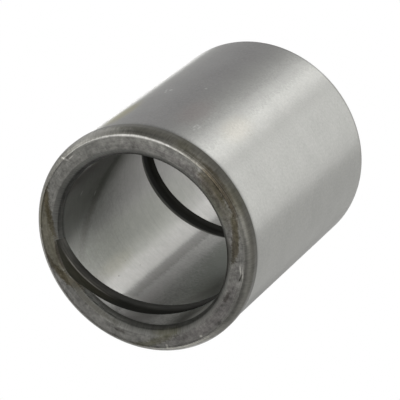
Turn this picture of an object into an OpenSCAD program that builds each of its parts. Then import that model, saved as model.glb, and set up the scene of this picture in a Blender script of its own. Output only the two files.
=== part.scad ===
// Hardened steel bushing for a pivot pin. It is one turned sleeve: the outside is ground, apart from
// a lip left round one end, and one helical grease groove is cut right through the bore.
// The plain end stands on z = 0, the lip is at the top and the bore runs along z.

/* [Sleeve] */
// Length from the plain end to the lip's face
length = 80; // [50:0.5:160]
// Diameter of the bore, which runs on the pin
bore_d = 50.3; // [30:0.1:90]
// Thickness of the wall, from the bore to the ground body that is pressed into its housing
wall = 7.35; // [6.7:0.05:20]

/* [Lip] */
// Length of the lip along the axis
lip_w = 5.1; // [4.2:0.1:20]
// Height of the lip above the ground body
lip_rise = 0.35; // [0.1:0.05:3]
// Radius of the lip's rounded nose
nose_r = 3.5; // [0.5:0.1:4.1]

/* [Lead-ins] */
// Length along the axis of the bore's lead-in, which is the same at both ends
bore_leadin_h = 1.9; // [0.5:0.1:10]
// Width across the wall of the bore's lead-in
bore_leadin_w = 2.1; // [0.5:0.1:2.5]
// Length along the axis of the plain end's outside lead-in, for pressing in
entry_h = 1; // [0.5:0.1:8]
// Width across the wall of the plain end's outside lead-in
entry_w = 0.25; // [0.1:0.05:3]

/* [Grease groove] */
// Width of the groove along the axis, where it opens into the bore
groove_w = 6.8; // [3:0.1:12]
// Depth of the groove below the bore
groove_depth = 1.5; // [0.5:0.05:3.5]
// Radius of the two corners in the groove's floor
groove_corner_r = 1.3; // [0.2:0.1:2.5]
// Fall of the groove along the axis in one turn, counterclockwise seen from the lip
groove_pitch = 56.6; // [25:0.1:150]
// Angle from +x of the groove's square end, in the bore's lead-in at the lip
groove_start = 54; // [0:1:359]
// Height of the groove's middle above the lip's face at its square end
groove_lift = 0.4; // [0:0.1:2]

/* [Hidden] */

bore_r = bore_d / 2;
body_r = bore_r + wall;
lip_r = body_r + lip_rise;

// Steps of the nose's quarter round and of each corner in the groove's floor
nose_steps = 12;
corner_steps = 3;

// The cutter starts this far inside the bore's wall and runs this far past the plain end
cutter_reach = 1.5;
cutter_overrun = groove_w;
// Angle between two rings of the cutter, about 2.5 mm apart along the wall
ring_step = 6;
corner_r = min(groove_corner_r, groove_depth, groove_w / 2);
groove_turn = 360 * (length + groove_lift + cutter_overrun) / groove_pitch;
ring_count = ceil(groove_turn / ring_step);

// Points of an arc about a centre, from angle a to angle b
function arc(centre, r, a, b, steps) =
    [for (i = [0 : steps])
        let (t = a + (b - a) * i / steps)
            centre + r * [cos(t), sin(t)]];

// Half of the sleeve's section: x is the radius and y the height
function sleeve_section() = concat(
    [[bore_r + bore_leadin_w, 0],
     [body_r - entry_w, 0],
     [body_r, entry_h],
     [body_r, length - lip_w],
     [lip_r, length - lip_w]],
    arc([lip_r - nose_r, length - nose_r], nose_r, 0, 90, nose_steps),
    [[bore_r + bore_leadin_w, length],
     [bore_r, length - bore_leadin_h],
     [bore_r, bore_leadin_h]]);

// Section of the groove's cutter: x is the radius and y the height from the groove's middle
function cutter_section() =
    let (floor_r = bore_r + groove_depth, half = groove_w / 2)
        concat(
            [[bore_r - cutter_reach, -half]],
            arc([floor_r - corner_r, -half + corner_r], corner_r, -90, 0, corner_steps),
            arc([floor_r - corner_r, half - corner_r], corner_r, 0, 90, corner_steps),
            [[bore_r - cutter_reach, half]]);

// Ring k of the cutter: its section, turned about z and let down along the helix
function cutter_ring(k) =
    let (turned = groove_turn * k / ring_count,
         angle = groove_start + turned,
         middle = length + groove_lift - groove_pitch * turned / 360)
        [for (p = cutter_section())
            [p[0] * cos(angle), p[0] * sin(angle), middle + p[1]]];

// Left-handed helical cutter, each quad between two rings split into two triangles
module groove_cutter() {
    n = len(cutter_section());
    points = [for (k = [0 : ring_count]) each cutter_ring(k)];
    skin = [for (k = [0 : ring_count - 1], i = [0 : n - 1])
        let (a = k * n + i, b = k * n + (i + 1) % n)
            each [[a, b, a + n], [b, b + n, a + n]]];
    first_cap = [for (i = [n - 1 : -1 : 0]) i];
    last_cap = [for (i = [0 : n - 1]) ring_count * n + i];
    polyhedron(points = points, faces = concat([first_cap], skin, [last_cap]));
}

// The whole bushing: one turned piece with its groove
module sleeve() {
    color("#a9aaa6")
        difference() {
            rotate_extrude($fn = 180) polygon(sleeve_section());
            groove_cutter();
        }
}

sleeve();
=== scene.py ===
import math

import bpy
from mathutils import Matrix, Vector


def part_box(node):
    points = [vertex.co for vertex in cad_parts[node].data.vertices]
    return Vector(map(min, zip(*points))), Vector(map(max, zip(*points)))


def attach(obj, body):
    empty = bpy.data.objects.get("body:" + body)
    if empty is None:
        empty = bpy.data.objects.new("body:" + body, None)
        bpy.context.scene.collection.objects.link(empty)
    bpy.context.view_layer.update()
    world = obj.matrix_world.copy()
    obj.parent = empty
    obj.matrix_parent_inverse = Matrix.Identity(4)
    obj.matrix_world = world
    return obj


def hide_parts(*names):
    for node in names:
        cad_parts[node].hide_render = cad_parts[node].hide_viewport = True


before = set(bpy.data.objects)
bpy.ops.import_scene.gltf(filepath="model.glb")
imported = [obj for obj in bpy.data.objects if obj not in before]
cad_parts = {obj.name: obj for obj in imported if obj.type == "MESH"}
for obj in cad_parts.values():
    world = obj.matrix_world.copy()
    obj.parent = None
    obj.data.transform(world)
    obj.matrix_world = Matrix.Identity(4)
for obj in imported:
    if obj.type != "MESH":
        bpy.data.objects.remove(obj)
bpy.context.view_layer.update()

# The sleeve
# The whole bushing is one piece of hardened steel. Its section is turned round the bore's axis, the
# body is ground down behind the lip, and a helical grease groove is cut right through the bore.
MM = 0.001
sleeve_low, sleeve_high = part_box("sleeve")
LENGTH = sleeve_high.z - sleeve_low.z
LIP_R = sleeve_high.y
LIP_RISE = 0.35 * MM
LIP_WIDTH = 5.1 * MM
NOSE_R = 3.5 * MM
BODY_R = LIP_R - LIP_RISE
BORE_R = 25.15 * MM
LEADIN_HEIGHT = 1.9 * MM
LEADIN_WIDTH = 2.1 * MM
ENTRY_HEIGHT = 1.0 * MM
ENTRY_WIDTH = 0.25 * MM
CREASE_R = 31.0 * MM
CREASE_DEPTH = 0.6 * MM
FACE_R = 28.8 * MM
NOSE_STEPS = 22
ROUND_STEPS = 640

# How far back from a corner its edge is broken, and how far apart the section's points are
END_EDGE = 0.2 * MM
ENTRY_EDGE = 0.3 * MM
SHOULDER_EDGE = 0.15 * MM
CREASE_EDGE = 0.1 * MM
FACE_EDGE = 0.25 * MM
THROAT_EDGE = 1.2 * MM
THROAT_STEPS = 8
BODY_SPACING = 8 * MM
BORE_SPACING = 6 * MM
LIP_SPACING = 0.4 * MM
FACE_SPACING = 0.3 * MM

GROOVE_WIDTH = 6.8 * MM
GROOVE_DEPTH = 1.5 * MM
GROOVE_CORNER = 1.3 * MM
GROOVE_EDGE = 0.2 * MM
GROOVE_PITCH = 56.6 * MM
GROOVE_START = math.radians(54)
GROOVE_TOP = LENGTH + 0.4 * MM
GROOVE_OVERRUN = GROOVE_WIDTH
GROOVE_REACH = 1.5 * MM
GROOVE_TURN = 2 * math.pi * (GROOVE_TOP + GROOVE_OVERRUN) / GROOVE_PITCH
GROOVE_RINGS = 720

# Points nearer than this are one point, and edges sharper than this are shaded sharp
JOIN_WITHIN = 0.002 * MM
SHARP_ANGLE = math.radians(30)
# How far past its own surface a finish still covers a face
BORE_SLACK = 0.03 * MM
LIP_SLACK = 0.01 * MM


def arc(centre, radius, start, end, steps):
    """Points of an arc in a section's plane, from angle start to end in degrees."""
    turned = [math.radians(start + (end - start) * i / steps) for i in range(steps + 1)]
    return [(centre[0] + radius * math.cos(t), centre[1] + radius * math.sin(t)) for t in turned]


def broken_edge(before, corner, after, size, steps=4):
    """A corner of a section with its sharp edge broken by a small curve."""
    before, corner, after = Vector(before), Vector(corner), Vector(after)
    start = corner + (before - corner).normalized() * size
    end = corner + (after - corner).normalized() * size
    shares = [i / steps for i in range(steps + 1)]
    return [tuple(start * (1 - t) ** 2 + corner * 2 * t * (1 - t) + end * t ** 2) for t in shares]


def run(start, end, spacing):
    """Points between two corners of a section, no further apart than the spacing."""
    start, end = Vector(start), Vector(end)
    count = max(1, math.ceil((end - start).length / spacing))
    return [tuple(start.lerp(end, i / count)) for i in range(1, count)]


def sleeve_section():
    """The section of the sleeve's wall, once round, as points of radius and height."""
    foot = (BODY_R - ENTRY_WIDTH, 0)
    entry = (BODY_R, ENTRY_HEIGHT)
    root = (BODY_R, LENGTH - LIP_WIDTH)
    shoulder = (LIP_R, LENGTH - LIP_WIDTH)
    nose_centre = (LIP_R - NOSE_R, LENGTH - NOSE_R)
    crease = (CREASE_R, LENGTH - CREASE_DEPTH)
    face = (FACE_R, LENGTH)
    mouth = (BORE_R + LEADIN_WIDTH, LENGTH)
    throat = (BORE_R, LENGTH - LEADIN_HEIGHT)
    far_throat = (BORE_R, LEADIN_HEIGHT)
    far_mouth = (BORE_R + LEADIN_WIDTH, 0)
    nose_end = math.degrees(math.acos((CREASE_R - nose_centre[0]) / NOSE_R))
    nose = arc(nose_centre, NOSE_R, 0, nose_end, NOSE_STEPS)
    return (broken_edge(far_mouth, foot, entry, END_EDGE)
            + broken_edge(foot, entry, root, ENTRY_EDGE)
            + run(entry, root, BODY_SPACING)
            + [root]
            + broken_edge(root, shoulder, nose[0], SHOULDER_EDGE)
            + run(shoulder, nose[0], LIP_SPACING)
            + nose
            + broken_edge(nose[-1], crease, face, CREASE_EDGE)
            + run(crease, face, FACE_SPACING)
            + broken_edge(crease, face, mouth, FACE_EDGE)
            + run(face, mouth, FACE_SPACING)
            + broken_edge(face, mouth, throat, END_EDGE)
            + run(mouth, throat, LIP_SPACING)
            + broken_edge(mouth, throat, far_throat, THROAT_EDGE, THROAT_STEPS)
            + run(throat, far_throat, BORE_SPACING)
            + broken_edge(throat, far_throat, far_mouth, THROAT_EDGE, THROAT_STEPS)
            + broken_edge(far_throat, far_mouth, foot, END_EDGE))


def groove_section():
    """The section of the groove's cutter, once round: depth below the bore's wall and height."""
    mouth, half = GROOVE_WIDTH / 2, GROOVE_WIDTH / 2 - GROOVE_EDGE
    corner = GROOVE_DEPTH - GROOVE_CORNER
    upper = (arc((corner, half - GROOVE_CORNER), GROOVE_CORNER, 0, 90, 6)
             + arc((GROOVE_EDGE, mouth), GROOVE_EDGE, -90, -180, 4)
             + [(-GROOVE_REACH, mouth)])
    lower = [(x, -y) for x, y in reversed(upper)]
    return lower + upper


def section_mesh(name, points):
    """A section's points as the vertices of a mesh, with the first one repeated to close it."""
    mesh = bpy.data.meshes.new(name)
    mesh.from_pydata([(x, y, 0) for x, y in points + points[:1]], [], [])
    piece = bpy.data.objects.new(name, mesh)
    bpy.context.scene.collection.objects.link(piece)
    return piece


def feed(tree, socket, value):
    """Links a value's socket to an input, or sets the input to a plain value."""
    if isinstance(value, bpy.types.NodeSocket):
        tree.links.new(value, socket)
    else:
        socket.default_value = value


def calc(tree, operation, *values):
    """A Math node on these values, for geometry and materials alike."""
    node = tree.nodes.new("ShaderNodeMath")
    node.operation = operation
    for socket, value in zip(node.inputs, values):
        feed(tree, socket, value)
    return node.outputs[0]


def made(tree, kind, settings=None, **inputs):
    """A new node with its settings, and its inputs fed by name."""
    node = tree.nodes.new(kind)
    for name, value in (settings or {}).items():
        setattr(node, name, value)
    for name, value in inputs.items():
        feed(tree, node.inputs[name.replace("_", " ")], value)
    return node


def swept_grid(tree, section, section_points, columns, place):
    """A closed grid with the section's points as rows. place gives each point's position from its
    row's x and y and from its column's number."""
    grid = made(tree, "GeometryNodeMeshGrid", Vertices_X=columns, Vertices_Y=section_points)
    index = made(tree, "GeometryNodeInputIndex").outputs[0]
    row = calc(tree, "MODULO", index, section_points)
    column = calc(tree, "FLOOR", calc(tree, "DIVIDE", calc(tree, "ADD", index, 0.5), section_points))
    point = made(tree, "GeometryNodeInputPosition").outputs[0]
    sample = made(tree, "GeometryNodeSampleIndex", {"data_type": "FLOAT_VECTOR"},
                  Geometry=section, Value=point, Index=row)
    split = made(tree, "ShaderNodeSeparateXYZ", Vector=sample.outputs[0])
    placed = made(tree, "GeometryNodeSetPosition", Geometry=grid.outputs["Mesh"],
                  Position=place(split.outputs[0], split.outputs[1], column))
    merged = made(tree, "GeometryNodeMergeByDistance", Geometry=placed.outputs[0], Distance=JOIN_WITHIN)
    return merged.outputs[0]


def polar(tree, radius, angle, height):
    """The point at a radius, an angle and a height round the bore's axis."""
    return made(tree, "ShaderNodeCombineXYZ",
                X=calc(tree, "MULTIPLY", radius, calc(tree, "COSINE", angle)),
                Y=calc(tree, "MULTIPLY", radius, calc(tree, "SINE", angle)),
                Z=height).outputs[0]


SLEEVE_SIZES = {
    "Section Points": "NodeSocketInt",
    "Round Steps": "NodeSocketInt",
    "Groove Points": "NodeSocketInt",
    "Groove Rings": "NodeSocketInt",
    "Bore Radius": "NodeSocketFloat",
    "Groove Start": "NodeSocketFloat",
    "Groove Turn": "NodeSocketFloat",
    "Groove Top": "NodeSocketFloat",
    "Groove Fall": "NodeSocketFloat",
    "Groove Middle": "NodeSocketFloat",
    "Lip Start": "NodeSocketFloat",
}
FINISHES = ("Body", "Lip", "Bore", "Groove")


def turned_sleeve_tree():
    """Geometry Nodes that turn the section, sweep the groove's cutter and cut one from the other."""
    tree = bpy.data.node_groups.new("turned_sleeve", "GeometryNodeTree")
    tree.interface.new_socket("Section", in_out="INPUT", socket_type="NodeSocketGeometry")
    tree.interface.new_socket("Groove Section", in_out="INPUT", socket_type="NodeSocketObject")
    for name, kind in SLEEVE_SIZES.items():
        tree.interface.new_socket(name, in_out="INPUT", socket_type=kind)
    for finish in FINISHES:
        tree.interface.new_socket(finish + " Finish", in_out="INPUT", socket_type="NodeSocketMaterial")
    tree.interface.new_socket("Sleeve", in_out="OUTPUT", socket_type="NodeSocketGeometry")
    given = tree.nodes.new("NodeGroupInput").outputs
    cutter_info = made(tree, "GeometryNodeObjectInfo", Object=given["Groove Section"])

    def turned_point(radius, height, column):
        angle = calc(tree, "MULTIPLY", column, calc(tree, "DIVIDE", 2 * math.pi, given["Round Steps"]))
        return polar(tree, radius, angle, height)

    def cutter_point(depth, height, column):
        last = calc(tree, "SUBTRACT", given["Groove Rings"], 1)
        share = calc(tree, "DIVIDE", calc(tree, "SUBTRACT", column, 1), calc(tree, "SUBTRACT", last, 2))
        share.node.use_clamp = True
        capped = calc(tree, "MULTIPLY", calc(tree, "GREATER_THAN", column, 0.5),
                      calc(tree, "LESS_THAN", column, calc(tree, "SUBTRACT", last, 0.5)))
        off_middle = calc(tree, "MULTIPLY", calc(tree, "SUBTRACT", depth, given["Groove Middle"]), capped)
        mid_radius = calc(tree, "ADD", given["Bore Radius"], given["Groove Middle"])
        radius = calc(tree, "ADD", mid_radius, off_middle)
        angle = calc(tree, "MULTIPLY_ADD", share, given["Groove Turn"], given["Groove Start"])
        fall = calc(tree, "MULTIPLY", share, given["Groove Fall"])
        middle = calc(tree, "SUBTRACT", given["Groove Top"], fall)
        return polar(tree, radius, angle, calc(tree, "MULTIPLY_ADD", height, capped, middle))

    columns = calc(tree, "ADD", given["Round Steps"], 1)
    turned = swept_grid(tree, given["Section"], given["Section Points"], columns, turned_point)
    cutter = swept_grid(tree, cutter_info.outputs["Geometry"], given["Groove Points"],
                        given["Groove Rings"], cutter_point)
    cut = tree.nodes.new("GeometryNodeMeshBoolean")
    cut.operation = "DIFFERENCE"
    cut.solver = "MANIFOLD"
    tree.links.new(turned, cut.inputs["Mesh 1"])
    named = made(tree, "GeometryNodeStoreNamedAttribute", {"data_type": "BOOLEAN", "domain": "FACE"},
                 Geometry=cutter, Name="groove_cut", Value=True)
    tree.links.new(named.outputs[0], cut.inputs["Mesh 2"])
    smooth = made(tree, "GeometryNodeSetShadeSmooth", Geometry=cut.outputs[0])
    edge_angle = made(tree, "GeometryNodeInputMeshEdgeAngle").outputs["Unsigned Angle"]
    sharp = calc(tree, "GREATER_THAN", edge_angle, SHARP_ANGLE)
    edges = made(tree, "GeometryNodeSetShadeSmooth", {"domain": "EDGE"}, Geometry=smooth.outputs[0],
                 Selection=sharp, Shade_Smooth=False)
    finished = made(tree, "GeometryNodeRealizeInstances", Geometry=edges.outputs[0]).outputs[0]
    face_at = made(tree, "GeometryNodeInputPosition").outputs[0]
    x, y, z = made(tree, "ShaderNodeSeparateXYZ", Vector=face_at).outputs
    radius = calc(tree, "SQRT", calc(tree, "ADD", calc(tree, "POWER", x, 2), calc(tree, "POWER", y, 2)))
    in_bore = calc(tree, "LESS_THAN", radius, calc(tree, "ADD", given["Bore Radius"], BORE_SLACK))
    on_lip = calc(tree, "GREATER_THAN", z, given["Lip Start"])
    is_cut = made(tree, "GeometryNodeInputNamedAttribute", {"data_type": "BOOLEAN"},
                  Name="groove_cut").outputs[0]
    for finish, where in (("Body", None), ("Lip", on_lip), ("Bore", in_bore), ("Groove", is_cut)):
        painted = made(tree, "GeometryNodeSetMaterial", Geometry=finished,
                       Material=given[finish + " Finish"])
        if where:
            tree.links.new(where, painted.inputs["Selection"])
        finished = painted.outputs[0]
    out = tree.nodes.new("NodeGroupOutput")
    tree.links.new(finished, out.inputs["Sleeve"])
    return tree


def made_plain(piece, name):
    """The piece's evaluated mesh as a plain one, with its modifiers gone."""
    evaluated = piece.evaluated_get(bpy.context.evaluated_depsgraph_get())
    mesh = bpy.data.meshes.new_from_object(evaluated)
    piece.modifiers.clear()
    piece.data = mesh
    piece.name = mesh.name = name
    return piece


# The sleeve's finishes: the body and the bore are ground bright, the lip is left as turned and hardened,
# and dark oxide stays in the groove. Painted highlights and painted shade are laid into all four colours.
# Places on them are in degrees round the bore's axis and in mm.
LIP_ROOT = 74.9
LIP_OUTSIDE = 32.85
LIP_CREASE = CREASE_R / MM
BORE_MOUTH = (BORE_R + LEADIN_WIDTH) / MM
GROUND_ROUGHNESS = 0.40
GROUND_GRAIN_DEPTH = 0.004 * MM
BRUSHING_TURN = 0.25


def surface_fields(tree):
    """The shaded point in mm, its angle in degrees and its radius and height in mm."""
    point = made(tree, "ShaderNodeTexCoord").outputs["Object"]
    scaled = made(tree, "ShaderNodeVectorMath", {"operation": "SCALE"}, Vector=point, Scale=1000)
    x, y, z = made(tree, "ShaderNodeSeparateXYZ", Vector=scaled.outputs[0]).outputs
    turned = calc(tree, "MULTIPLY", calc(tree, "ARCTAN2", y, x), math.degrees(1))
    radius = calc(tree, "SQRT", calc(tree, "MULTIPLY_ADD", x, x, calc(tree, "MULTIPLY", y, y)))
    return scaled.outputs[0], calc(tree, "FLOORED_MODULO", turned, 360), radius, z


def ramp(tree, value, start, end, low=0.0, high=1.0):
    """Turns a value that runs from start to end into one that eases from low to high."""
    node = made(tree, "ShaderNodeMapRange", {"interpolation_type": "SMOOTHSTEP"}, Value=value,
                From_Min=start, From_Max=end, To_Min=low, To_Max=high)
    return node.outputs[0]


def grain(tree, point, scale, stretch=(1, 1, 1), detail=3.0, roughness=0.6):
    """Noise about nought, from -1 to 1, at a scale per mm and stretched along the point's axes."""
    placed = made(tree, "ShaderNodeVectorMath", {"operation": "MULTIPLY"})
    feed(tree, placed.inputs[0], point)
    placed.inputs[1].default_value = stretch
    noise = made(tree, "ShaderNodeTexNoise", Vector=placed.outputs[0], Scale=scale, Detail=detail,
                 Roughness=roughness)
    return calc(tree, "MULTIPLY_ADD", noise.outputs[0], 2, -1)


def blend(tree, share, first, second):
    """The first colour, turned into the second by a share."""
    node = made(tree, "ShaderNodeMix", {"data_type": "RGBA"})
    for socket, value in zip((node.inputs[0], node.inputs[6], node.inputs[7]), (share, first, second)):
        feed(tree, socket, (*value, 1) if isinstance(value, tuple) else value)
    return node.outputs[2]


def shade(tree, colour, factor):
    """A colour made lighter or darker by a factor."""
    node = made(tree, "ShaderNodeVectorMath", {"operation": "SCALE"}, Scale=factor)
    feed(tree, node.inputs[0], colour)
    return node.outputs[0]


def patch(tree, angle, across, ragged, mark):
    """Where a mark lies: its angle and place across, half sizes, lean in degrees per mm and softness."""
    at, place, half_angle, half_across, lean, soft = mark
    off = calc(tree, "SUBTRACT", across, place)
    turned = calc(tree, "WRAP", calc(tree, "SUBTRACT", angle, at), 180, -180)
    leant = calc(tree, "MULTIPLY_ADD", off, -lean, turned)
    length = calc(tree, "POWER", calc(tree, "ABSOLUTE", calc(tree, "DIVIDE", leant, half_angle)), 2)
    width = calc(tree, "POWER", calc(tree, "ABSOLUTE", calc(tree, "DIVIDE", off, half_across)), 2)
    distance = calc(tree, "SQRT", calc(tree, "ADD", length, width))
    return ramp(tree, calc(tree, "ADD", distance, ragged), 1 + soft, 1 - soft)


def marked(tree, colour, angle, across, ragged, marks):
    """A colour with marks laid over it, each a place on the surface, a strength and a colour."""
    for place, strength, mark_colour in marks:
        share = calc(tree, "MULTIPLY", patch(tree, angle, across, ragged, place), strength)
        colour = blend(tree, share, colour, mark_colour)
    return colour


def steel(name, build, anisotropy=0.0, metallic=1.0, specular=0.5):
    """Steel, or the oxide on it, whose colour, roughness and bump height come from build. Its brushing
    runs round Z."""
    material = bpy.data.materials.new(name)
    material.use_nodes = True
    tree = material.node_tree
    principled = tree.nodes["Principled BSDF"]
    colour, roughness, height, depth = build(tree)
    bump = made(tree, "ShaderNodeBump", Height=height, Distance=depth)
    tangent = made(tree, "ShaderNodeTangent", {"direction_type": "RADIAL", "axis": "Z"})
    inputs = {
        "Base Color": colour,
        "Roughness": roughness,
        "Metallic": metallic,
        "Anisotropic": anisotropy,
        "Anisotropic Rotation": BRUSHING_TURN,
        "Specular IOR Level": specular,
        "Normal": bump.outputs[0],
        "Tangent": tangent.outputs[0],
    }
    for socket, value in inputs.items():
        feed(tree, principled.inputs[socket], value)
    return material


# Each mark is its place, as patch reads it, with a strength and a colour. On the body they are first a
# painted highlight and painted shade in long bands along the axis, then painted shade at the lip's root,
# a darker and a lighter patch at 188 degrees, and then nicks and thin films.
GROUND_STEEL = (0.42, 0.42, 0.40)
# Painted shade for one side of the body
SHADED_STEEL = (0.285, 0.280, 0.277)
NICK = (0.7, 0.7, 0.68)
BODY_MARKS_AND_PAINTED_LIGHT = (
    # Painted highlight: a bright band down the whole body
    ((353, 40, 9, 120, 0, 0.5), 0.8, (0.82, 0.82, 0.80)),
    # Painted shade: two dark bands down the whole body
    ((326, 40, 8, 120, 0, 0.8), 0.45, (0.2, 0.2, 0.195)),
    ((289.5, 40, 5, 120, 0, 0.6), 0.4, (0.28, 0.28, 0.27)),
    # Painted shade on the body at the lip's root
    ((316, 74.6, 19, 1.4, 0, 0.5), 0.45, (0.16, 0.16, 0.155)),
    ((188, 72, 9, 22, 0, 0.8), 0.6, (0.27, 0.27, 0.26)),
    ((188, 4, 6, 20, 0, 0.8), 0.6, (0.52, 0.52, 0.50)),
    ((296.4, 67.6, 0.3, 0.5, 0, 0.9), 0.45, NICK),
    ((297.6, 66.0, 0.3, 0.8, 0, 0.9), 0.5, NICK),
    ((295.6, 65.4, 0.3, 0.9, 0, 0.9), 0.4, NICK),
    ((297.0, 64.6, 0.7, 0.3, 0, 0.9), 0.4, NICK),
    ((330.2, 46.8, 0.4, 0.5, 0, 0.9), 0.5, NICK),
    ((328.6, 45.2, 0.8, 0.4, 0, 0.9), 0.5, NICK),
    ((331.4, 45.0, 0.4, 0.6, 0, 0.9), 0.4, NICK),
    ((312, 42, 0.6, 0.3, 0, 0.5), 0.45, (0.72, 0.72, 0.70)),
    ((341, 62, 5, 9, 0, 0.5), 0.45, (0.36, 0.33, 0.17)),
    ((304, 58, 6, 8, 0, 0.6), 0.35, (0.33, 0.28, 0.27)),
    ((283, 55, 6, 7, 0, 0.6), 0.35, (0.46, 0.43, 0.37)),
)


def ground_body(tree):
    """Fine ground steel: a light grain, faint grinding rings, a few nicks and thin films. Painted shade
    darkens one side and the body just below the lip's root, and it is darker at the plain end's lead-in.
    Painted highlights and painted shade also lie in long bands along the axis."""
    point, angle, _, height = surface_fields(tree)
    speckle = grain(tree, point, 1.6, detail=4)
    cloud = grain(tree, point, 0.12, detail=2)
    rings = grain(tree, point, 1.0, (0.04, 0.04, 2.2), detail=2)
    level = calc(tree, "MULTIPLY_ADD", speckle, 0.24, 1)
    level = calc(tree, "MULTIPLY_ADD", cloud, 0.07, level)
    level = calc(tree, "MULTIPLY_ADD", rings, 0.04, level)
    # Painted shade on the body just below the lip's root
    level = calc(tree, "MULTIPLY", level, ramp(tree, height, LIP_ROOT - 1.7, LIP_ROOT + 0.1, 1, 0.5))
    level = calc(tree, "MULTIPLY", level, ramp(tree, height, 0.9, 1.3, 0.6, 1))
    # Painted shade down one side of the body
    painted_shade_side = calc(tree, "MULTIPLY", ramp(tree, angle, 287, 317), ramp(tree, angle, 352, 328))
    colour = blend(tree, painted_shade_side, GROUND_STEEL, SHADED_STEEL)
    colour = marked(tree, colour, angle, height, calc(tree, "MULTIPLY", speckle, 0.9), BODY_MARKS_AND_PAINTED_LIGHT)
    roughness = calc(tree, "MULTIPLY_ADD", speckle, 0.05, GROUND_ROUGHNESS)
    return shade(tree, colour, level), roughness, speckle, GROUND_GRAIN_DEPTH


# The lip's own colours from its side to the bore, with painted shade for one side of the throat, and its
# marks: stains, scratches, bare spots and dark lines, then painted highlights and painted shade on the
# nose, at the mouth's edge and along the crease. Their place across runs from the lip's root over the
# nose and the face.
LIP_SIDE = (0.077, 0.074, 0.062)
LIP_NOSE = (0.12, 0.117, 0.104)
LIP_FACE = (0.160, 0.157, 0.146)
LEADIN = (0.13, 0.129, 0.12)
THROAT = (0.10, 0.10, 0.092)
# Painted shade for one side of the lead-in's throat
PAINTED_SHADE_THROAT = (0.058, 0.058, 0.052)
LIP_ROUGH_DEPTH = 0.06 * MM
BROWN = (0.060, 0.051, 0.031)
OLIVE = (0.085, 0.082, 0.052)
DARK = (0.035, 0.03, 0.025)
LIGHT = (0.42, 0.41, 0.38)
PURPLE = (0.12, 0.108, 0.108)
LIP_MARKS_AND_PAINTED_LIGHT = (
    ((52, 8.6, 22, 3.0, 4, 0.25), 0.75, (0.098, 0.090, 0.062)),
    ((31, 7.9, 5, 2.0, 3.5, 0.35), 0.85, BROWN),
    ((42, 10.2, 6, 1.7, 6, 0.35), 0.7, BROWN),
    ((69, 7.8, 5.5, 1.9, 4.5, 0.35), 0.65, BROWN),
    ((79, 10.6, 5.5, 2.2, 3.8, 0.35), 0.85, BROWN),
    ((64, 11.2, 10, 0.5, 0, 0.4), 0.8, DARK),
    ((138, 7.4, 5.5, 1.4, 4.5, 0.4), 0.6, OLIVE),
    ((148, 9.6, 6.5, 1.6, 4.5, 0.4), 0.6, OLIVE),
    ((152, 11.6, 9, 1.2, 0, 0.5), 0.5, OLIVE),
    ((240, 8.2, 8, 2.2, -6, 0.35), 0.85, BROWN),
    ((228, 12.0, 10, 1.6, 0, 0.5), 0.65, (0.05, 0.048, 0.038)),
    ((265, 5.7, 16, 0.85, 0, 0.3), 0.9, (0.05, 0.04, 0.028)),
    ((255, 8.6, 11, 1.9, 0, 0.6), 0.55, (0.07, 0.064, 0.042)),
    ((270, 8.0, 10.5, 2.2, 0, 0.35), 0.8, BROWN),
    ((261, 10.6, 13, 2.2, 0, 0.6), 0.45, OLIVE),
    ((284, 9.4, 8, 2.6, 0, 0.7), 0.35, (0.11, 0.106, 0.095)),
    ((277, 4.4, 2.5, 1.0, 0, 0.5), 0.6, DARK),
    ((258, 3.0, 7, 2.8, 0, 0.5), 0.35, (0.075, 0.072, 0.045)),
    ((293, 3.0, 4, 2.8, 0, 0.5), 0.35, (0.075, 0.072, 0.045)),
    ((185, 8.8, 30, 1.7, 0, 0.5), 0.5, PURPLE),
    ((278, 9.2, 40, 0.9, 0, 0.6), 0.3, PURPLE),
    ((218, 6.6, 2.2, 0.45, 6, 0.4), 0.6, LIGHT),
    ((221, 7.6, 1.6, 0.3, 6, 0.4), 0.7, LIGHT),
    ((217, 7.2, 1.2, 0.4, -4, 0.4), 0.8, DARK),
    ((203, 9.7, 4.5, 0.5, 0, 0.7), 0.7, DARK),
    ((150, 7.0, 0.6, 0.7, 0, 0.5), 0.7, LIGHT),
    ((172, 7.2, 0.8, 0.5, 0, 0.5), 0.7, LIGHT),
    ((122, 9.7, 3, 0.5, 0, 0.7), 0.6, DARK),
    ((359.4, 6.3, 3.0, 1.2, 0, 0.4), 0.5, (0.08, 0.078, 0.068)),
    ((3.2, 6.4, 0.6, 1.5, -1, 0.5), 0.6, LIGHT),
    ((359.8, 7.5, 2.3, 0.22, 0, 0.5), 0.55, LIGHT),
    # Painted highlight on the nose
    ((210, 4.9, 26, 1.3, 0, 0.7), 0.5, (0.19, 0.186, 0.168)),
    # Painted shade on the nose, in the next two marks
    ((270, 4.8, 17, 1.2, 0, 0.6), 0.85, (0.036, 0.031, 0.021)),
    ((286, 4.9, 7, 1.0, 0, 0.7), 0.7, (0.04, 0.038, 0.030)),
    # Painted highlights on the nose, in the next two marks
    ((342, 3.8, 15, 1.7, 0, 0.7), 0.75, (0.33, 0.325, 0.30)),
    ((158, 3.2, 16, 1.2, 0, 0.6), 0.8, (0.42, 0.42, 0.40)),
    # Painted shade at the mouth's edge
    ((98, 11.4, 20, 0.9, 0, 0.6), 0.85, (0.060, 0.058, 0.050)),
    # Two thin painted highlight lines on the nose
    ((285, 5.0, 55, 0.10, 0, 0.6), 0.22, (0.22, 0.215, 0.20)),
    ((275, 5.6, 45, 0.09, 0, 0.6), 0.2, (0.22, 0.215, 0.20)),
    # Painted highlights along the crease, in the next four marks
    ((214, 6.2, 26, 0.4, 0, 0.6), 0.6, (0.20, 0.196, 0.18)),
    ((68, 6.2, 15, 0.4, 0, 0.6), 0.5, (0.24, 0.235, 0.22)),
    ((345, 6.3, 17, 0.35, 0, 0.6), 0.55, (0.32, 0.315, 0.295)),
    ((318, 6.2, 20, 0.36, 0, 0.8), 0.85, (0.58, 0.57, 0.54)),
    # Painted shadow in the crease
    ((264, 6.35, 21, 0.4, 0, 0.5), 0.85, (0.035, 0.03, 0.022)),
)


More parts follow.
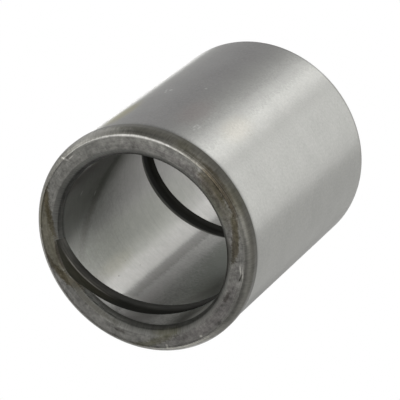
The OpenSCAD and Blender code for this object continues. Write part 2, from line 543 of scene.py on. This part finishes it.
def turned_lip(tree):
    """The lip left as turned and hardened: dark, and streaked along the axis on its side. Its face is
    rough, mottled and stained, with faint turning lines, and its lead-in is plainer and duller. Painted
    highlights and painted shade lie on its nose, along its crease and at the mouth's edge, and painted
    shade on one side of the lead-in's throat."""
    point, angle, radius, height = surface_fields(tree)
    in_leadin = ramp(tree, radius, BORE_MOUTH + 0.1, BORE_MOUTH - 0.1)
    leadin_rise = calc(tree, "MULTIPLY_ADD", calc(tree, "SUBTRACT", BORE_MOUTH, radius), 0.35, 5.1)
    lip_rise = calc(tree, "SUBTRACT", height, LIP_ROOT)
    rise = made(tree, "ShaderNodeMix", Factor=in_leadin, A=lip_rise, B=leadin_rise)
    across = calc(tree, "ADD", rise.outputs[0], calc(tree, "SUBTRACT", LIP_OUTSIDE, radius))
    around = calc(tree, "MULTIPLY", angle, 0.55)
    unrolled = made(tree, "ShaderNodeCombineXYZ", X=around, Y=across).outputs[0]
    streaks = grain(tree, unrolled, 1.5, (1.6, 0.18, 1), detail=4)
    rough = grain(tree, point, 1.1, detail=6, roughness=0.7)
    cloud = grain(tree, point, 0.16, detail=3)
    on_face = ramp(tree, radius, LIP_CREASE + 0.15, LIP_CREASE - 0.15)
    on_face = calc(tree, "MULTIPLY", on_face, calc(tree, "SUBTRACT", 1, in_leadin))
    colour = blend(tree, ramp(tree, across, 1.0, 6.0), LIP_SIDE, LIP_NOSE)
    colour = blend(tree, on_face, colour, LIP_FACE)
    # Painted shade on one side of the lead-in's throat
    painted_shade_side = calc(tree, "MULTIPLY", ramp(tree, angle, 60, 150), ramp(tree, angle, 300, 240))
    throat = blend(tree, painted_shade_side, THROAT, PAINTED_SHADE_THROAT)
    leadin = blend(tree, ramp(tree, radius, BORE_MOUTH - 0.05, BORE_MOUTH - 1.65), LEADIN, throat)
    colour = blend(tree, in_leadin, colour, leadin)
    ragged = calc(tree, "ADD", calc(tree, "MULTIPLY", rough, 0.8), calc(tree, "MULTIPLY", cloud, 0.3))
    colour = marked(tree, colour, angle, across, ragged, LIP_MARKS_AND_PAINTED_LIGHT)
    texture = calc(tree, "MULTIPLY", rough, calc(tree, "MULTIPLY_ADD", on_face, 0.5, 0.12))
    lines = calc(tree, "MULTIPLY", streaks, calc(tree, "MULTIPLY_ADD", on_face, -0.42, 0.55))
    turning = grain(tree, unrolled, 1.5, (0.1, 1.3, 1), detail=4)
    turning = calc(tree, "MULTIPLY", turning, calc(tree, "MULTIPLY", on_face, 0.4))
    lines = calc(tree, "ADD", lines, turning)
    level = calc(tree, "ADD", calc(tree, "ADD", 1, texture), lines)
    level = calc(tree, "MULTIPLY_ADD", cloud, 0.3, level)
    mottle = calc(tree, "MULTIPLY", grain(tree, point, 0.5, detail=4),
                  calc(tree, "MULTIPLY_ADD", on_face, 0.45, 0.2))
    level = calc(tree, "ADD", level, mottle)
    roughness = calc(tree, "MULTIPLY_ADD", on_face, 0.28, 0.42)
    roughness = calc(tree, "MULTIPLY_ADD", in_leadin, 0.2, roughness)
    bumps = calc(tree, "MULTIPLY", rough, calc(tree, "MULTIPLY_ADD", on_face, 0.9, 0.1))
    return shade(tree, colour, level), roughness, bumps, LIP_ROUGH_DEPTH


# The bore's marks: painted highlights and painted shade in bands and patches, some tinted greenish, and a
# diagonal of painted shadow, then films of old grease, scratches, pits and two darker streaks.
BORE_STEEL = (0.42, 0.415, 0.40)
BORE_MARKS_AND_PAINTED_LIGHT = (
    # Painted highlight: a bright streak down the bore
    ((101, 40, 7, 120, 0, 0.4), 0.7, (0.50, 0.495, 0.475)),
    # Painted shade, tinted greenish, in the next two marks
    ((142, 24, 20, 34, 0, 0.6), 0.9, (0.200, 0.214, 0.190)),
    ((160, 60, 22, 20, 0, 0.7), 0.5, (0.200, 0.214, 0.190)),
    # Painted shade in a dark line beside the streak
    ((112, 36, 3.5, 90, 0, 0.5), 0.65, (0.21, 0.21, 0.197)),
    # Painted highlight in a lighter band
    ((121, 36, 3.5, 60, 0, 0.7), 0.4, (0.46, 0.45, 0.44)),
    # Painted shade near the mouth
    ((172, 75, 26, 9, 0, 0.6), 0.8, (0.11, 0.11, 0.10)),
    # Painted shade, tinted greenish
    ((52, 70, 28, 22, 0, 0.6), 0.6, (0.250, 0.260, 0.236)),
    # A diagonal painted shadow
    ((36, 54, 5.5, 17, 1.9, 0.6), 0.45, (0.13, 0.13, 0.11)),
    ((80, 40, 14, 34, 0, 0.6), 0.3, (0.41, 0.44, 0.36)),
    ((90, 60, 5, 9, 0, 0.6), 0.25, (0.46, 0.44, 0.33)),
    ((32, 67.5, 1.0, 0.5, 2, 0.5), 0.7, NICK),
    ((40, 58.5, 0.8, 0.5, 2, 0.5), 0.7, NICK),
    ((97, 63, 0.5, 0.4, 0, 0.6), 0.5, (0.15, 0.14, 0.12)),
    ((92, 55.5, 0.5, 0.3, 0, 0.6), 0.35, (0.15, 0.14, 0.12)),
    ((100.5, 52, 0.4, 0.3, 0, 0.6), 0.35, (0.15, 0.14, 0.12)),
    ((100, 76.2, 14, 1.8, 0, 0.5), 0.75, (0.15, 0.15, 0.14)),
    ((150, 56, 4, 8, -1.0, 0.6), 0.4, (0.15, 0.15, 0.13)),
)


def ground_bore(tree):
    """The bore: ground like the body, with grinding rings, a few pits and films of old grease, and with
    painted highlights and painted shade in bands and patches.
    """
    point, angle, _, height = surface_fields(tree)
    speckle = grain(tree, point, 1.3, detail=4)
    rings = grain(tree, point, 1.0, (0.05, 0.05, 1.4), detail=3)
    level = calc(tree, "MULTIPLY_ADD", speckle, 0.11, 1)
    level = calc(tree, "MULTIPLY_ADD", rings, 0.10, level)
    level = calc(tree, "MULTIPLY_ADD", grain(tree, point, 0.35, detail=4), 0.13, level)
    level = calc(tree, "MULTIPLY", level, ramp(tree, height, 76.2, 77.4, 1, 0.6))
    colour = marked(tree, BORE_STEEL, angle, height, calc(tree, "MULTIPLY", speckle, 0.6), BORE_MARKS_AND_PAINTED_LIGHT)
    roughness = calc(tree, "MULTIPLY_ADD", speckle, 0.05, GROUND_ROUGHNESS)
    return shade(tree, colour, level), roughness, speckle, GROUND_GRAIN_DEPTH


WALL_OXIDE = (0.015, 0.0145, 0.0125)
CORNER_OXIDE = (0.029, 0.028, 0.024)
FLOOR_OXIDE = (0.024, 0.023, 0.016)
FAR_OXIDE = (0.013, 0.013, 0.011)
# Painted light where the groove starts
START_PAINTED_LIGHT = (0.046, 0.045, 0.040)
# Painted highlight line in the groove
PAINTED_HIGHLIGHT_LINE = (0.13, 0.125, 0.112)
SECOND_OXIDE = (0.009, 0.009, 0.007)
SECOND_STRIP = (0.10, 0.10, 0.087)
OXIDE_ROUGHNESS = 0.6
OXIDE_DEPTH = 0.02 * MM


def groove_oxide(tree):
    """The groove's dark oxide, in fine lines along the cut. It is grey on the lower corner, with a
    painted highlight line, and near black on the floor and further round. Painted light makes it lighter
    where the groove starts. The second turn is black, with a grey strip on its upper side."""
    _, angle, radius, height = surface_fields(tree)
    pitch = GROOVE_PITCH / MM
    start = GROOVE_TOP / MM + math.degrees(GROOVE_START) * pitch / 360
    fallen = calc(tree, "MULTIPLY_ADD", angle, pitch / 360, height)
    second_turn = calc(tree, "LESS_THAN", fallen, start - pitch / 2)
    across = calc(tree, "SUBTRACT", calc(tree, "MULTIPLY_ADD", second_turn, pitch, fallen), start)
    unrolled = made(tree, "ShaderNodeCombineXYZ", X=calc(tree, "MULTIPLY", angle, 0.05), Y=across,
                    Z=radius).outputs[0]
    lines = grain(tree, unrolled, 2.4, detail=3)
    level = calc(tree, "MULTIPLY_ADD", lines, 0.9, 1)
    colour = blend(tree, ramp(tree, across, -3.2, -2.4), WALL_OXIDE, CORNER_OXIDE)
    colour = blend(tree, ramp(tree, across, -1.7, -1.3), colour, FLOOR_OXIDE)
    colour = blend(tree, ramp(tree, angle, 96, 112), colour, FAR_OXIDE)
    # Painted light where the groove starts
    painted_light_at_start = calc(tree, "MULTIPLY", ramp(tree, angle, 78, 57, 0, 0.85),
                    ramp(tree, across, -1.2, -2.2, 0.3, 1))
    colour = blend(tree, painted_light_at_start, colour, START_PAINTED_LIGHT)
    # A painted highlight line along the groove
    off_line = calc(tree, "ABSOLUTE", calc(tree, "ADD", across, 1.85))
    bright = calc(tree, "MULTIPLY", ramp(tree, off_line, 0.4, 0.1), ramp(tree, angle, 108, 84))
    bright = calc(tree, "MULTIPLY", bright, ramp(tree, angle, 58, 74))
    colour = blend(tree, bright, colour, PAINTED_HIGHLIGHT_LINE)
    second = blend(tree, ramp(tree, across, -0.4, 0.6), SECOND_OXIDE, SECOND_STRIP)
    colour = blend(tree, second_turn, colour, second)
    return shade(tree, colour, level), OXIDE_ROUGHNESS, lines, OXIDE_DEPTH


finishes = {
    "Body": steel("ground_body", ground_body, 1.0),
    "Lip": steel("turned_lip", turned_lip),
    "Bore": steel("ground_bore", ground_bore, 1.0),
    "Groove": steel("groove_oxide", groove_oxide, metallic=0.0, specular=0.12),
}

section = sleeve_section()
cutter_section = groove_section()
sleeve = section_mesh("turned_section", section)
cutter_profile = section_mesh("groove_section", cutter_section)
nodes = sleeve.modifiers.new("turned_sleeve", "NODES")
nodes.node_group = turned_sleeve_tree()
sizes = {
    "Groove Section": cutter_profile,
    "Section Points": len(section) + 1,
    "Round Steps": ROUND_STEPS,
    "Groove Points": len(cutter_section) + 1,
    "Groove Rings": GROOVE_RINGS,
    "Bore Radius": BORE_R,
    "Groove Start": GROOVE_START,
    "Groove Turn": GROOVE_TURN,
    "Groove Top": GROOVE_TOP,
    "Groove Fall": GROOVE_TOP + GROOVE_OVERRUN,
    "Groove Middle": GROOVE_DEPTH / 2,
    "Lip Start": LENGTH - LIP_WIDTH - LIP_SLACK,
}
for finish, material in finishes.items():
    sizes[finish + " Finish"] = material
for item in nodes.node_group.interface.items_tree:
    if item.name in sizes:
        nodes[item.identifier] = sizes[item.name]
sleeve = made_plain(sleeve, "sleeve_steel")
bpy.data.objects.remove(cutter_profile)
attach(sleeve, "root")
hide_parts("sleeve")

# Floor, light and camera
# A plain white light table under the bushing, soft lights round it, and a long lens high on one side.
TABLE_HALF = 3.0
floor_mesh = bpy.data.meshes.new("light_table")
table_corners = [(x * TABLE_HALF, y * TABLE_HALF, 0) for x, y in ((-1, -1), (1, -1), (1, 1), (-1, 1))]
floor_mesh.from_pydata(table_corners, [], [(0, 1, 2, 3)])
floor = bpy.data.objects.new("light_table", floor_mesh)
bpy.context.scene.collection.objects.link(floor)
glow = bpy.data.materials.new("light_table")
glow.use_nodes = True
glow_shader = glow.node_tree.nodes["Principled BSDF"]
glow_shader.inputs["Base Color"].default_value = (0.0, 0.0, 0.0, 1)
glow_shader.inputs["Emission Color"].default_value = (1, 1, 1, 1)
glow_shader.inputs["Emission Strength"].default_value = 1.0
glow_shader.inputs["Specular IOR Level"].default_value = 0
floor_mesh.materials.append(glow)

ROOM_LIGHT = 0.1
world = bpy.data.worlds.new("studio")
world.use_nodes = True
background = world.node_tree.nodes["Background"]
background.inputs["Color"].default_value = (1, 1, 1, 1)
background.inputs["Strength"].default_value = ROOM_LIGHT
bpy.context.scene.world = world


def softbox(name, azimuth, elevation, distance, width, height, watts):
    """A rectangular soft light that faces the bushing's middle. Azimuth 0 is along +X."""
    azimuth, elevation = math.radians(azimuth), math.radians(elevation)
    aim = Vector((0, 0, LENGTH / 2))
    away = Vector((math.cos(azimuth) * math.cos(elevation), math.sin(azimuth) * math.cos(elevation),
                   math.sin(elevation)))
    data = bpy.data.lights.new(name, "AREA")
    data.shape = "RECTANGLE"
    data.size, data.size_y = width, height
    data.energy = watts
    light = bpy.data.objects.new(name, data)
    light.location = aim + away * distance
    light.rotation_euler = away.to_track_quat("Z", "Y").to_euler()
    bpy.context.scene.collection.objects.link(light)
    return light


softbox("key_light", 244, 14, 1.0, 0.88, 0.48, 4.2)
softbox("high_key_light", 225, 70, 1.0, 0.26, 0.46, 2.1)
softbox("streak_light", 293, 70, 1.0, 0.38, 0.46, 7.5)
softbox("streak_foot_light", 293, 27, 1.0, 0.42, 0.95, 3.2)
softbox("back_fill", 195, 14, 1.0, 0.90, 0.48, 1.0)
softbox("far_fill", 130, 7, 1.0, 0.50, 0.30, 2.4)
softbox("left_fill", 75, 14, 1.0, 0.75, 0.48, 3.4)
softbox("left_rim_light", 32, 14, 1.0, 0.30, 0.48, 2.3)
softbox("left_high_light", 0, 34, 1.0, 0.35, 0.60, 1.5)

CAMERA_AT = Vector((-2.416, -406.697, 646.399)) * MM
CAMERA_RIGHT = Vector((-0.63632225, -0.63876203, -0.43252407))
CAMERA_UP = Vector((0.77142134, -0.52817851, -0.35487545))
CAMERA_SENSOR = 36
CAMERA_LENS = 230.68
camera = bpy.data.objects.new("camera", bpy.data.cameras.new("camera"))
camera.data.sensor_width = CAMERA_SENSOR
camera.data.lens = CAMERA_LENS
camera.data.clip_start = 0.01
camera_back = CAMERA_RIGHT.cross(CAMERA_UP)
camera.matrix_world = Matrix.Translation(CAMERA_AT) @ Matrix(
    (CAMERA_RIGHT, CAMERA_UP, camera_back)).transposed().to_4x4()
bpy.context.scene.collection.objects.link(camera)
bpy.context.scene.camera = camera
bpy.context.scene.view_settings.view_transform = "Standard"
